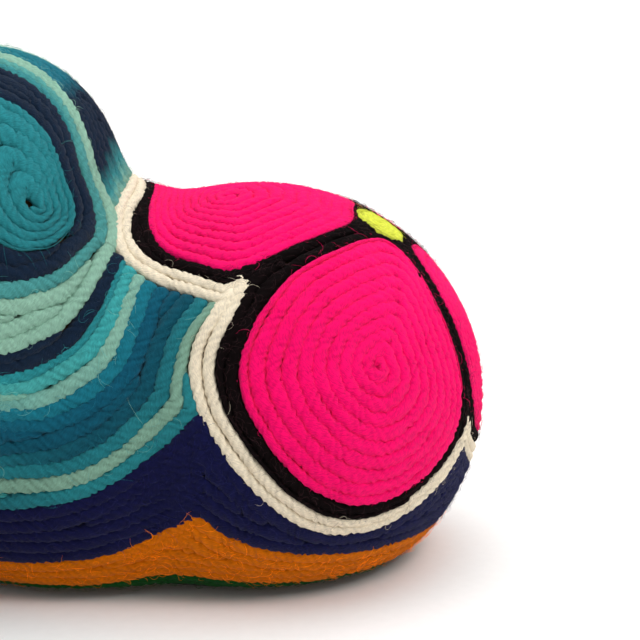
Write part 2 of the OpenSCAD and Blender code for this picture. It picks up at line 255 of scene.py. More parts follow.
def rims():
    """Outer, middle and inner edges of the pair of cream strands, as closed loops."""
    outer, inner = [], []
    for k in range(4):
        e = edge(k, ease(ARC))
        i = toward(e, coil_mid(k), CREAM_W)
        i[0] = nose(PETALS[k][2] - TIP_BACK, PETALS[k][0])
        outer.append(e)
        inner.append(i)
    outer, inner = np.concatenate(outer), np.concatenate(inner)
    return outer, (outer + inner) / 2, inner


def sector(k, inner_rim):
    """Outer boundary of petal k's black outline."""
    p, s6, s4 = PETALS[k], np.arange(6) / 6, np.arange(4) / 4
    return np.concatenate(
        [
            inner_rim[k * ARC : (k + 1) * ARC],
            nose(mix(p[3] - TIP_BACK, LIME_REACH, s6), mix(p[1], INNER[k + 1], s6)),
            nose(LIME_REACH, mix(INNER[k + 1], INNER[k], s4)),
            nose(mix(LIME_REACH, p[2] - TIP_BACK, s6), mix(INNER[k], p[0], s6)),
        ]
    )


def petal_loop(k, boundary):
    """Outer edge of petal k's coil, rounded at its corners."""
    p = toward(boundary, coil_mid(k), BLACK_W)
    for _ in range(3):
        p = (np.roll(p, 1, 0) + 2 * p + np.roll(p, -1, 0)) / 4
    return p


MEET_P = edge(0, MEET_T)
MEET = -math.degrees(math.atan2(MEET_P[1] - HEART[1], MEET_P[0] - HEART[0]))


def cheek_z(az):
    """Height of the seam between the cheek and the blue band."""
    return 21 + (MEET_P[2] - 21) * np.exp(-np.maximum(0, abs(az) - MEET) / 13)


def orange_z(az):
    """Height of the seam between the blue and orange bands."""
    return 9 + 12.2 * np.exp(-abs(abs(az) - 51.4) / 10)


def green_z(az):
    """Height of the seam between the orange and green bands."""
    return FOOT_T + 1.6 + 2.2 * np.exp(-(((abs(az) - 50) / 12) ** 2))


def eye_line(share, u):
    """A ring at a share of the way out from the eye's middle; rings crowd by the cheek."""
    side = np.maximum(0, np.sin(np.radians(36 * (u % 13 - 8)))) ** 0.7
    side = np.where(u % 13 > 8, side, 0) if share < 1 else 0 * u
    return mix(EYE_MID, bend(EYE_LOOP, u), (share * (1 - CROWD * side))[:, None])


def flip_y(p):
    """Points mirrored to the other side of the head."""
    return p * np.array([1, -1, 1])


CREAM_SHARE = 6 / 24
NAPE_TOP = np.array([-32, 0, 103.6])


def cheek_low(s):
    """Lower edge of the cheek, from the petals' notch round to the nape."""
    s = np.asarray(s, float)
    front = edge(0, mix(1, MEET_T, np.minimum(s / CREAM_SHARE, 1)))
    az = mix(-MEET, -180, np.clip((s - CREAM_SHARE) / (1 - CREAM_SHARE), 0, 1))
    return np.where((s <= CREAM_SHARE)[..., None], front, level(az, cheek_z(az)))


def cheek_at(s, f):
    """Cheek guide points: s runs from the front to the nape, f from top to bottom."""
    u = 8 * s
    back = mix(EYE_LOOP[6], NAPE_TOP, np.clip(u - 7, 0, 1)[..., None])
    top = drop(np.where((u <= 7)[..., None], bend(EYE_LOOP, 13 - np.minimum(u, 7)), back))
    flat = mix(top, cheek_low(s), f[..., None])
    pull = np.maximum(0, 1 - s / CREAM_SHARE)[..., None] ** 2
    plain = mix(drop(EYE_LOOP[0]), cheek_low(0.0), f[..., None])
    return flat + (edge(1, CHEEK_T * (1 - f)) - plain) * pull


def cheek_share(k, s):
    """Share of the way down the cheek at which colour k starts."""
    return mix(FRONT_F[k], CHEEK_F[k], np.minimum(1, s / CREAM_SHARE))


def brow_at(s, f):
    """Brow guide points: s runs backwards, f from the left eye to the right."""
    p = drop(bend(EYE_LOOP, 1 + 5 * s))
    a = drop(EYE_LOOP[1])
    pull = np.maximum(0, 1 - s / 0.4)[..., None] ** 2
    over = edge(1, mix(BROW_T, 1 - BROW_T, f))
    return mix(p, flip_y(p), f[..., None]) + (
        over - mix(a, flip_y(a), f[..., None])
    ) * pull


# ---------------------------------------------------------------- strands


class Skein:
    """Gathers the strands and stray fibres of one piece into one mesh."""

    SIDES = 14
    RING_MM = 0.5

    def __init__(self, seed, head):
        self.rng = np.random.default_rng(seed)
        self.head = head
        self.v, self.f, self.yarn, self.band, self.hollow, self.n = [], [], [], [], [], 0
        self.tops, self.uv, self.length, self.cells = [], [], 0.0, 0

    def add(self, v, f, yarn, band, hollow, uv):
        """Keeps one mesh part and its values for the shader."""
        self.uv.append(uv)
        self.v.append(v)
        self.f.append(f + self.n)
        self.yarn.append(yarn)
        self.band.append(band)
        self.hollow.append(hollow)
        self.n += len(v)

    def wave(self, s, length):
        """A slow random swing between about -1 and 1 along a strand."""
        a = self.rng.uniform(0, 2 * np.pi, 3)
        swings = (1, 0.6, 1.7)
        return sum(np.sin(2 * np.pi * s / (length * k) + a[i]) for i, k in enumerate(swings)) / 2

    def lay(self, guide, half, band, closed=False, on_skin=True, normals=None, proud=0.12):
        """One strand along guide points; half is its half width at each."""
        head = self.head
        p = drop(guide) * STRETCH if on_skin else guide
        if closed:
            p = np.concatenate([p, p[:1]])
            half = np.append(half, half[0])
            band = np.append(band, band[0])
            if normals is not None:
                normals = np.concatenate([normals, normals[:1]])
        run = np.concatenate([[0], np.cumsum(np.linalg.norm(np.diff(p, axis=0), axis=1))])
        if run[-1] < 2.0:
            return
        n = max(6, int(run[-1] / self.RING_MM))
        s = np.linspace(0, run[-1], n + 1)
        if closed:
            s = s[:-1]
        p = np.stack([np.interp(s, run, p[:, i]) for i in range(3)], -1)
        half = np.interp(s, run, half)
        band = np.interp(s, run, band)
        if on_skin:
            base = drop(p / STRETCH)
            p, up = base * STRETCH, skin_normal(base)
        else:
            up = unit(np.stack([np.interp(s, run, normals[:, i]) for i in range(3)], -1))
        if closed:
            along = unit(np.roll(p, -1, 0) - np.roll(p, 1, 0))
        else:
            along = unit(np.gradient(p, axis=0))
        side = unit(np.cross(up, along))
        thick = head.yarn_t / MM
        high = (thick / 2 + proud) * (1 + 0.05 * self.wave(s, 13))
        wide = half * (1.36 + 0.06 * self.wave(s, 9))
        high = np.minimum(high, wide + 0.3)
        mid = p - up * (high - proud)[:, None] + side * (0.12 * self.wave(s, 16))[:, None]
        if not closed:
            end = np.minimum(s, s[-1] - s)
            shrink = np.sqrt(np.clip(end / 1.1, 0.02, 1))
            high, wide = high * shrink, wide * shrink
        pitch = head.twist / MM
        turns = s / pitch * 2 * np.pi
        if closed:
            turns = s / run[-1] * max(1, round(run[-1] / pitch)) * 2 * np.pi
        phase = self.rng.uniform(0, 2 * np.pi) + 0.5 * self.wave(s, 7)[:, None]
        m = self.SIDES
        a = np.arange(m) / m * 2 * np.pi
        lobe = np.abs(np.cos(head.plies / 2 * (a[None] - turns[:, None] - phase)))
        depth = head.ply_depth * (1 + 0.5 * self.wave(s, 11))[:, None]
        r = 1 - depth * (1 - lobe) + self.rng.normal(0, 0.018, lobe.shape)
        x, y = np.cos(a), np.sin(a)
        x, y = np.sign(x) * abs(x) ** 0.92, np.sign(y) * abs(y) ** 0.92
        v = (
            mid[:, None]
            + side[:, None] * (x * r * wide[:, None])[..., None]
            + up[:, None] * (y * r * high[:, None])[..., None]
        )
        k = len(s)
        i = np.arange(k if closed else k - 1)
        j = np.arange(m)
        a0 = i[:, None] * m + j
        a1 = i[:, None] * m + (j + 1) % m
        b0 = (i[:, None] + 1) % k * m + j
        b1 = (i[:, None] + 1) % k * m + (j + 1) % m
        faces = np.stack([a0, a1, b1, b0], -1).reshape(-1, 4)
        # Unrolled: millimetres along every strand laid so far, and the share round it
        uv = np.zeros((len(i), m, 4, 3))
        uv[..., 0] = -1
        uv[..., 1] = self.length + (i[:, None] + [0, 0, 1, 1])[:, None] * s[1]
        uv[..., 2] = (j[:, None] + [0, 1, 1, 0]) / m
        uv = uv.reshape(-1, 4, 3)
        self.length += run[-1]
        ident = self.rng.uniform(0, 1)
        yarn = np.zeros((k, m, 3))
        yarn[..., 0] = s[:, None]
        yarn[..., 1] = a / (2 * np.pi)
        yarn[..., 2] = ident
        # Painted shade: the colour is darker in the grooves between plies and on the underside of
        # the strand, where its neighbours and the skin shade it
        hollow = (1 - lobe) * 0.55 + 0.6 * np.clip(0.35 - y, 0, 1)
        if not closed:
            caps = np.concatenate([np.arange(m)[None, ::-1], (k - 1) * m + np.arange(m)[None]])
            tri = []
            for row in caps:
                for t in range(1, m - 1):
                    tri.append((row[0], row[t], row[t + 1], row[t + 1]))
            faces = np.concatenate([faces, np.array(tri)[:, ::-1]])
            spot = np.zeros((len(tri), 4, 3))
            spot[..., 0] = self.cells + np.repeat([0, 1], m - 2)[:, None]
            turn = (np.array(tri)[:, ::-1] % m) / m * 2 * np.pi
            spot[..., 1], spot[..., 2] = 0.5 + 0.5 * np.cos(turn), 0.5 + 0.5 * np.sin(turn)
            uv = np.concatenate([uv, spot])
            self.cells += 2
        self.add(
            v.reshape(-1, 3), faces, yarn.reshape(-1, 3),
            np.repeat(band, m), hollow.reshape(-1), uv,
        )
        self.tops.append((p + up * proud, up, along, band, np.full(k, ident)))

    def rows(self, grid, closed=False, along=False, strand=None, least=1):
        """Parallel strands across a grid of guide rows. Strands join in where the field is
        wide and taper out where it narrows. The dye changes across the rows, or along them."""
        grid = np.asarray(grid, float)
        strand = strand or self.head.strand / MM
        width = np.linalg.norm(np.diff(grid, axis=0) * STRETCH, axis=2).sum(0)
        need = np.maximum(width / strand, least)
        for _ in range(6):
            if closed:
                need = (np.roll(need, 1) + 2 * need + np.roll(need, -1)) / 4
            else:
                need[1:-1] = (need[:-2] + 2 * need[1:-1] + need[2:]) / 4
        most = max(least, int(np.ceil(need.max() - 0.4)))
        # The two outer strands run all the way; inner ones come and go
        order = sorted(range(most), key=lambda i: -abs(i - (most - 1) / 2 + 0.1))
        rank = np.argsort(order)
        share = np.clip(need[None] - rank[:, None], 0, 1)
        share[rank == 0] = 1
        share = share / share.sum(0)
        middle = np.cumsum(share, 0) - share / 2
        columns = np.arange(grid.shape[1])
        run = np.linspace(0, 1, grid.shape[1])
        for f, w in zip(middle, share):
            u = f * (len(grid) - 1)
            i = np.minimum(u.astype(int), len(grid) - 2)
            p = mix(grid[i, columns], grid[i + 1, columns], (u - i)[:, None])
            half = w * width / 2
            dye = run if along else f
            held = half > 0.16 * min(strand, width.max() / most)
            if held.all():
                self.lay(p, half, dye, closed)
                continue
            shift = int(np.flatnonzero(~held)[0]) if closed else 0
            p, half, dye, held = (np.roll(x, -shift, 0) for x in (p, half, dye, held))
            ends = np.flatnonzero(np.diff(np.concatenate([[0], held, [0]])))
            for a, b in zip(ends[::2], ends[1::2]):
                if b - a > 3:
                    self.lay(p[a:b], half[a:b], dye[a:b])

    def coil(self, loop, mid, turns):
        """A flat spiral that fills a loop from its middle outwards."""
        per = 72
        t = np.arange(int(0.45 * per), int((turns + 1) * per)) / per
        n = len(loop)
        rim = bend(loop, (t % 1) * n)
        late = t >= turns
        ahead = t - turns
        share = np.where(late, 1 - (1 - ahead) / (2 * turns), (t - 0.5) / turns)
        share = np.where(late, share, np.maximum(share, 0.12 / turns))
        size = np.linalg.norm((rim - mid) * STRETCH, axis=1)
        half = size / turns / 2 * np.where(late, np.clip(1 - ahead, 0.05, 1), 1)
        self.lay(mix(mid, rim, share[:, None]), half, share)

    def fibres(self, per_mm, length=(2.0, 7.0), lift=0.35, steps=7, pale=0.0):
        """Stray fibres that stand off the strands; pale gives them a painted highlight, a
        brightened colour for the light they catch on dark wool.
        """
        if not self.tops:
            return
        p, up, along, band, ident = (np.concatenate(x) for x in zip(*self.tops))
        count = int(len(p) * self.RING_MM * per_mm)
        if not count:
            return
        rng = self.rng
        pick = rng.integers(0, len(p), count)
        sides = 3
        reach_mm = rng.uniform(*length, count) * rng.uniform(0.4, 1, count)
        turn = rng.normal(0, 0.9, count)
        curl = rng.normal(0, 2.2, count)
        u, t = up[pick], along[pick]
        b = np.cross(u, t)
        q = np.arange(steps) / (steps - 1)
        ang = turn[:, None] + curl[:, None] * (q - 0.3)
        ang = ang + rng.normal(0, 0.5, (count, 1)) * np.sin(5 * q)
        step = (reach_mm / (steps - 1))[:, None]
        x = np.cumsum(np.cos(ang) * step, 1)
        y = np.cumsum(np.sin(ang) * step, 1)
        rise = np.abs(rng.normal(0, lift, count))[:, None] * np.sin(np.pi * np.minimum(q * 1.1, 1))
        start = p[pick] + b * rng.normal(0, 0.5, count)[:, None]
        c = start[:, None] + t[:, None] * x[..., None] + b[:, None] * y[..., None]
        base = drop(c / STRETCH)
        c = base * STRETCH + unit(c - HEART * STRETCH) * (0.22 + rise)[..., None]
        thin = rng.uniform(0.016, 0.028, count)[:, None] * (1 - 0.6 * abs(2 * q - 1))
        d = unit(np.gradient(c, axis=1))
        n1 = unit(np.cross(d, u[:, None]))
        n2 = np.cross(d, n1)
        a = np.arange(sides) / sides * 2 * np.pi
        v = (
            c[:, :, None]
            + n1[:, :, None] * (np.cos(a) * thin[..., None])[..., None]
            + n2[:, :, None] * (np.sin(a) * thin[..., None])[..., None]
        )
        ring = steps * sides
        i = np.arange(count)[:, None, None] * ring
        r = np.arange(steps - 1)[None, :, None] * sides
        j = np.arange(sides)[None, None]
        k = (j + 1) % sides
        corners = (i + r + j, i + r + k, i + r + sides + k, i + r + sides + j)
        quad = np.stack(np.broadcast_arrays(*corners), -1)
        yarn = np.zeros((count, ring, 3))
        yarn[..., 0] = rng.uniform(0, 50, (count, 1))
        yarn[..., 1] = 0.25
        yarn[..., 2] = ident[pick][:, None]
        uv = np.zeros((count, steps - 1, sides, 4, 3))
        uv[..., 0] = self.cells + np.arange(count)[:, None, None, None]
        uv[..., 1] = (np.arange(steps - 1)[:, None] + [0, 0, 1, 1])[:, None] / (steps - 1)
        uv[..., 2] = (np.arange(sides)[:, None] + [0, 1, 1, 0]) / sides
        self.cells += count
        # Negative values brighten the fibre's colour in the shader: a painted highlight for fibres
        # catching the light
        self.add(
            v.reshape(-1, 3), quad.reshape(-1, 4), yarn.reshape(-1, 3),
            np.repeat(band[pick], ring), np.full(count * ring, -pale), uv.reshape(-1, 4, 3),
        )

    def unrolled(self):
        """Texture places in the unit square: strands in rows, and below them a grid of
        small cells for the strand ends and stray fibres."""
        uv = np.concatenate(self.uv)
        strip, kind = 0.12, uv[:, 0, 0]
        count = max(1, round(math.sqrt(self.length / 7)))
        span = self.length / count
        row = np.minimum(uv[:, :1, 1] // span, count - 1)
        wide = (uv[..., 1] - row * span) / (span + 1)
        tall = strip + (1 - strip) * (row + 0.03 + 0.94 * uv[..., 2]) / count
        across = math.ceil(math.sqrt(max(1, self.cells) / strip))
        down = math.ceil(max(1, self.cells) / across)
        cell = kind[:, None]
        near = (cell % across + 0.06 + 0.88 * uv[..., 1]) / across
        deep = strip * (cell // across + 0.06 + 0.88 * uv[..., 2]) / down
        return np.where(
            cell[..., None] < 0, np.stack([wide, tall], -1), np.stack([near, deep], -1)
        )

    def piece(self, name, material, slot, *nodes):
        """Makes the object, which stands for the CAD nodes and rides on the root."""
        self.fibres(0.7, length=(0.7, 1.6), lift=0.12, steps=4)
        v = np.concatenate(self.v) * MM
        f = np.concatenate(self.f)
        quads = f[:, 2] != f[:, 3]
        loops = np.concatenate([f[quads].ravel(), f[~quads][:, :3].ravel()])
        sizes = np.concatenate([np.full(quads.sum(), 4), np.full((~quads).sum(), 3)])
        me = bpy.data.meshes.new(name)
        me.vertices.add(len(v))
        me.vertices.foreach_set("co", v.ravel().astype(np.float32))
        me.loops.add(len(loops))
        me.loops.foreach_set("vertex_index", loops.astype(np.int32))
        me.polygons.add(len(sizes))
        starts = np.concatenate([[0], np.cumsum(sizes)[:-1]])
        me.polygons.foreach_set("loop_start", starts.astype(np.int32))
        me.polygons.foreach_set("loop_total", sizes.astype(np.int32))
        me.update(calc_edges=True)
        # Texture space for baking, since a strand has no flat side to project
        uv = self.unrolled()
        uv = np.concatenate([uv[quads].reshape(-1, 2), uv[~quads][:, :3].reshape(-1, 2)])
        me.uv_layers.new(name="OFBake").uv.foreach_set("vector", uv.ravel().astype(np.float32))
        me.polygons.foreach_set("use_smooth", np.ones(len(sizes), bool))
        a = me.attributes.new("yarn", "FLOAT_VECTOR", "POINT")
        a.data.foreach_set("vector", np.concatenate(self.yarn).ravel().astype(np.float32))
        # The second attribute holds painted light: shade in the ply grooves and under the strands,
        # and a highlight on pale stray fibres
        for key, parts in (("band", self.band), ("hollow", self.hollow)):
            a = me.attributes.new(key, "FLOAT", "POINT")
            a.data.foreach_set("value", np.concatenate(parts).astype(np.float32))
        me.materials.append(material)
        o = bpy.data.objects.new(name, me)
        bpy.context.scene.collection.objects.link(o)
        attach(o, "root")
        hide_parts(*nodes)
        return o


# ---------------------------------------------------------------- materials


def linear(text):
    """An sRGB hex colour as linear RGBA."""
    c = [int(text[i : i + 2], 16) / 255 for i in (1, 3, 5)]
    return [x / 12.92 if x <= 0.04045 else ((x + 0.055) / 1.055) ** 2.4 for x in c] + [1.0]


def add_node(tree, kind, settings=None, links=None):
    """Adds a shader node; settings go to sockets or properties, links come from sockets."""
    n = tree.nodes.new(kind)
    for key, value in (settings or {}).items():
        if isinstance(key, int) or key in n.inputs:
            n.inputs[key].default_value = value
        else:
            setattr(n, key, value)
    for key, socket in (links or {}).items():
        tree.links.new(socket, n.inputs[key])
    return n


def new_material(name):
    m = bpy.data.materials.get(name) or bpy.data.materials.new(name)
    m.use_nodes = True
    m.node_tree.nodes.clear()
    out = m.node_tree.nodes.new("ShaderNodeOutputMaterial")
    return m, m.node_tree, out


def wool(name, stops, painted_shade_level, sheen=0.12):
    """Dyed worsted wool, plied and pressed into wax: matt, with fine twisted fibres that break the
    light up, with painted shade darkening the colour in the grooves between plies and under the
    strands, and a painted highlight on pale stray fibres. Several stops run across the rows of a
    space-dyed yarn."""
    m, t, out = new_material(name)
    yarn = add_node(t, "ShaderNodeAttribute", {"attribute_name": "yarn"})
    band = add_node(t, "ShaderNodeAttribute", {"attribute_name": "band"})
    hollow = add_node(t, "ShaderNodeAttribute", {"attribute_name": "hollow"})
    xyz = add_node(t, "ShaderNodeSeparateXYZ", links={0: yarn.outputs["Vector"]})
    # A fibre shows about 0.2 mm wide and 2 mm long and leans with the twist
    lean = add_node(t, "ShaderNodeMath", {"operation": "MULTIPLY", 1: 0.55}, {0: xyz.outputs[0]})
    wrap = add_node(
        t, "ShaderNodeMath", {"operation": "MULTIPLY_ADD", 1: 9.0},
        {0: xyz.outputs[1], 2: lean.outputs[0]},
    )
    ident = add_node(t, "ShaderNodeMath", {"operation": "MULTIPLY", 1: 97.0}, {0: xyz.outputs[2]})
    along = add_node(t, "ShaderNodeMath", {"operation": "MULTIPLY", 1: 0.35}, {0: xyz.outputs[0]})
    place = add_node(
        t, "ShaderNodeCombineXYZ",
        links={0: along.outputs[0], 1: wrap.outputs[0], 2: ident.outputs[0]},
    )
    fibre = add_node(
        t, "ShaderNodeTexNoise", {"Scale": 3.4, "Detail": 5.0, "Roughness": 0.75},
        {"Vector": place.outputs[0]},
    )
    slow = add_node(
        t, "ShaderNodeTexNoise", {"Scale": 0.09, "Detail": 1.0}, {"Vector": place.outputs[0]}
    )
    if len(stops) > 1:
        drift = add_node(
            t, "ShaderNodeMath", {"operation": "MULTIPLY_ADD", 1: 0.16, 2: -0.08},
            {0: slow.outputs["Fac"]},
        )
        where = add_node(
            t, "ShaderNodeMath", {"operation": "ADD"},
            {0: band.outputs["Fac"], 1: drift.outputs[0]},
        )
        ramp = add_node(t, "ShaderNodeValToRGB", links={0: where.outputs[0]})
        bar = ramp.color_ramp
        while len(bar.elements) < len(stops):
            bar.elements.new(0.5)
        for element, (at, text) in zip(bar.elements, stops):
            element.position, element.color = at, linear(text)
        dye = ramp.outputs["Color"]
    else:
        tone = add_node(t, "ShaderNodeRGB")
        tone.outputs[0].default_value = linear(stops[0][1])
        dye = tone.outputs[0]
    # Fibres vary between a darker and a lighter dye take-up
    spread = add_node(
        t, "ShaderNodeMapRange",
        {"From Min": 0.3, "From Max": 0.7, "To Min": 0.72, "To Max": 1.24},
        {"Value": fibre.outputs["Fac"]},
    )
    # Painted shade: the colour is darkened in the ply grooves and under the strands; negative
    # values brighten pale stray fibres as a painted highlight
    painted_groove_shade = add_node(
        t, "ShaderNodeMapRange",
        {"clamp": False, "From Min": 0.0, "From Max": 1.0, "To Min": 1.0, "To Max": painted_shade_level},
        {"Value": hollow.outputs["Fac"]},
    )
    strength = add_node(
        t, "ShaderNodeMath", {"operation": "MULTIPLY"},
        {0: spread.outputs[0], 1: painted_groove_shade.outputs[0]},
    )
    colour = add_node(
        t, "ShaderNodeVectorMath", {"operation": "SCALE"},
        {0: dye, "Scale": strength.outputs[0]},
    )
    bump = add_node(
        t, "ShaderNodeBump", {"Strength": 1.0, "Distance": 0.00035},
        {"Height": fibre.outputs["Fac"]},
    )
    body = add_node(
        t, "ShaderNodeBsdfPrincipled",
        {
            "Roughness": 0.95, "IOR": 1.54, "Specular IOR Level": 0.06,
            "Sheen Weight": sheen, "Sheen Roughness": 0.4,
            "Sheen Tint": [0.4 + 0.6 * c for c in linear(stops[len(stops) // 2][1])],
        },
        {"Base Color": colour.outputs[0], "Normal": bump.outputs[0]},
    )
    t.links.new(body.outputs[0], out.inputs[0])
    return m


def plain(name, light, dark, roughness, scale, stretch=(1, 1, 1), bump=0.3):
    """A matt natural solid, mottled between two colours by object-space noise."""
    m, t, out = new_material(name)
    coords = add_node(t, "ShaderNodeTexCoord")
    place = add_node(
        t, "ShaderNodeMapping", {"Scale": stretch}, {"Vector": coords.outputs["Object"]}
    )
    noise = add_node(
        t, "ShaderNodeTexNoise", {"Scale": scale, "Detail": 4.0}, {"Vector": place.outputs[0]}
    )
    ramp = add_node(t, "ShaderNodeValToRGB", links={0: noise.outputs["Fac"]})
    ramp.color_ramp.elements[0].position = 0.35
    ramp.color_ramp.elements[0].color = linear(dark)
    ramp.color_ramp.elements[1].position = 0.65
    ramp.color_ramp.elements[1].color = linear(light)
    lift = add_node(
        t, "ShaderNodeBump", {"Strength": bump, "Distance": 0.0002},
        {"Height": noise.outputs["Fac"]},
    )
    body = add_node(
        t, "ShaderNodeBsdfPrincipled", {"Roughness": roughness, "IOR": 1.45},
        {"Base Color": ramp.outputs[0], "Normal": lift.outputs[0]},
    )
    t.links.new(body.outputs[0], out.inputs[0])
    return m


# ---------------------------------------------------------------- settings


class YarnHeadSettings(bpy.types.PropertyGroup):
    """Sizes and dyes of the yarn."""

    strand: FloatProperty(
        name="Strand width", description="Width of one pressed strand",
        default=0.0029, min=0.0015, max=0.005, unit="LENGTH",
    )
    yarn_t: FloatProperty(
        name="Yarn thickness", description="Thickness of the pressed yarn",
        default=0.0024, min=0.001, max=0.004, unit="LENGTH",
    )
    twist: FloatProperty(
        name="Twist", description="Length of one full turn of the plies",
        default=0.008, min=0.003, max=0.02, unit="LENGTH",
    )
    plies: IntProperty(name="Plies", description="Plies in one strand", default=4, min=2, max=6)
    ply_depth: FloatProperty(
        name="Ply depth", description="Depth of the groove between plies, as a share",
        default=0.24, min=0.0, max=0.4, subtype="FACTOR",
    )
    fuzz: FloatProperty(
        name="Stray fibres", description="Stray fibres for each millimetre of strand",
        default=0.45, min=0.0, max=2.0,
    )
    pink: StringProperty(name="Pink", description="Petal dye", default="#FF0A6C")
    lime: StringProperty(name="Lime", description="Flower centre dye", default="#E2E84E")
    black: StringProperty(name="Black", description="Outline dye", default="#0D0607")
    cream: StringProperty(name="Cream", description="Undyed wool", default="#F6E8CE")
    royal: StringProperty(name="Royal blue", description="Blue band dye", default="#12143F")
    orange: StringProperty(name="Orange", description="Orange band dye", default="#D87002")
    green: StringProperty(name="Green", description="Green band dye", default="#0A4A16")
    teal: StringProperty(name="Teal", description="Eye and cheek dye", default="#28828A")
    mint: StringProperty(name="Mint", description="Pale ring dye", default="#8FBBA6")
    navy: StringProperty(name="Navy", description="Dark ring dye", default="#122338")
    sea: StringProperty(name="Sea blue", description="Broad cheek dye", default="#0F566F")


def settings():
    """The scene's yarn settings."""
    return bpy.context.scene.yarn_head


class BuildCore(bpy.types.Operator):
    """Finishes the carved core, the wax, the ears' bodies and the foot"""

    bl_idname = "yarn_head.core"
    bl_label = "Core, wax and foot"

    def execute(self, context):
        # Carved soft wood, left bare: long pale grain about 3 mm apart
        timber = plain("softwood_carved", "#C49A68", "#A67C4E", 0.75, 300, (0.2, 1, 1))
        # Beeswax spread by hand: dark honey, slightly waxy
        honey = plain("beeswax_spread", "#6E5124", "#523A18", 0.5, 180)
        # Wool felt cut from sheet: matt charcoal
        felt = plain("wool_felt_cut", "#4A4646", "#353232", 0.95, 1400)
        for node, material, slot in (
            ("carved_core", timber, "carved_wood"), ("ear_left", timber, "carved_wood"),
            ("ear_right", timber, "carved_wood"), ("wax_layer", honey, "beeswax"),
            ("felt_foot", felt, "felt"),
        ):
            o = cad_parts[node]
            o.data.materials.clear()
            o.data.materials.append(material)
        return {"FINISHED"}


class BuildFlower(bpy.types.Operator):
    """Winds the lime centre and the petals"""

    bl_idname = "yarn_head.flower"
    bl_label = "Flower"

    def execute(self, context):
        s = settings()
        lime = wool("wool_dyed_lime", [(0, s.lime)], 0.7)
        pink = wool("wool_dyed_pink", [(0, s.pink)], 0.82)
        loop = nose(LIME_REACH - 0.2, np.arange(24) * 15)
        k = Skein(11, s)
        k.coil(loop, nose(0, 0), 3)
        k.fibres(s.fuzz * 0.4)
        k.piece("lime_centre_yarn", lime, "lime_yarn", "lime_centre")
        rim = rims()[2]
        for i, side in enumerate(("left", "top", "right", "front")):
            loop = petal_loop(i, sector(i, rim))
            mid = coil_mid(i)
            size = np.linalg.norm(drop(loop) - mid, axis=1).mean()
            k = Skein(20 + i, s)
            k.coil(drop(loop), mid, round(size / (s.strand / MM) * 1.12))
            k.fibres(s.fuzz * 0.35)
            k.piece(f"petal_{side}_yarn", pink, "pink_yarn", f"petal_{side}")
        return {"FINISHED"}


class BuildOutlines(bpy.types.Operator):
    """Lays the black outlines and the two cream strands"""

    bl_idname = "yarn_head.outlines"
    bl_label = "Outlines"

    def execute(self, context):
        s = settings()
        black = wool("wool_dyed_black", [(0, s.black)], 0.6, sheen=0.0)
        cream = wool("wool_undyed_cream", [(0, s.cream)], 0.72)
        outer, middle, inner = rims()
        dense = np.arange(4 * ARC * 4) / 4
        for i, side in enumerate(("left", "top", "right", "front")):
            a = sector(i, inner)
            b = petal_loop(i, a)
            u = np.arange(len(a) * 3) / 3
            k = Skein(30 + i, s)
            k.rows([bend(a, u), bend(b, u)], closed=True, strand=2.2)
            # Painted highlight: stray fibres on the black are brightened to a pale grey
            k.fibres(s.fuzz * 3.0, length=(1.5, 5), pale=34)
            k.piece(f"outline_{side}_yarn", black, "black_yarn", f"outline_{side}")
        for i, (a, b, word) in enumerate(((outer, middle, "outer"), (middle, inner, "inner"))):
            k = Skein(40 + i, s)
            k.rows([bend(a, dense), bend(b, dense)], closed=True, strand=9)
            k.fibres(s.fuzz * 0.5)
            k.piece(f"cream_{word}_yarn", cream, "cream_yarn", f"cream_strand_{word}")
        return {"FINISHED"}


class BuildEyes(bpy.types.Operator):
    """Winds the ringed eyes"""

    bl_idname = "yarn_head.eyes"
    bl_label = "Eyes"

    def execute(self, context):
        s = settings()
        teal = wool("wool_dyed_teal", [(0, s.teal)], 0.6)
        shaded = wool("wool_space_dyed_ring", [(0.0, s.teal), (1.0, "#5FA79E")], 0.6)
        navy = wool("wool_dyed_navy", [(0, s.navy)], 0.6, sheen=0.2)
        mint = wool("wool_dyed_mint", [(0, s.mint)], 0.7)
        u = np.arange(13 * 12) / 12
        for side, turned in (("left", False), ("right", True)):
            sign = np.array([1, -1 if turned else 1, 1])

            def ring(share, sign=sign):
                return eye_line(share, u) * sign

            seed = 60 if turned else 50
            k = Skein(seed, s)
            k.coil(ring(RING_1), EYE_MID * sign, 5)
            k.fibres(s.fuzz)
            k.piece(f"eye_core_{side}_yarn", teal, "teal_yarn", f"eye_core_{side}")
            for j, (a, b, word, dye, slot) in enumerate((
                (RING_1, RING_2, "navy", navy, "navy_yarn"),
                (RING_2, RING_3, "teal", shaded, "teal_yarn"),
                (RING_3, 1, "pale", mint, "mint_yarn"),
            )):
                k = Skein(seed + 1 + j, s)
                k.rows([ring(a), ring(b)], closed=True)
                # Mild painted highlight on the stray fibres
                k.fibres(s.fuzz, pale=1.0)
                k.piece(f"eye_{word}_{side}_yarn", dye, slot, f"eye_{word}_{side}")
        return {"FINISHED"}


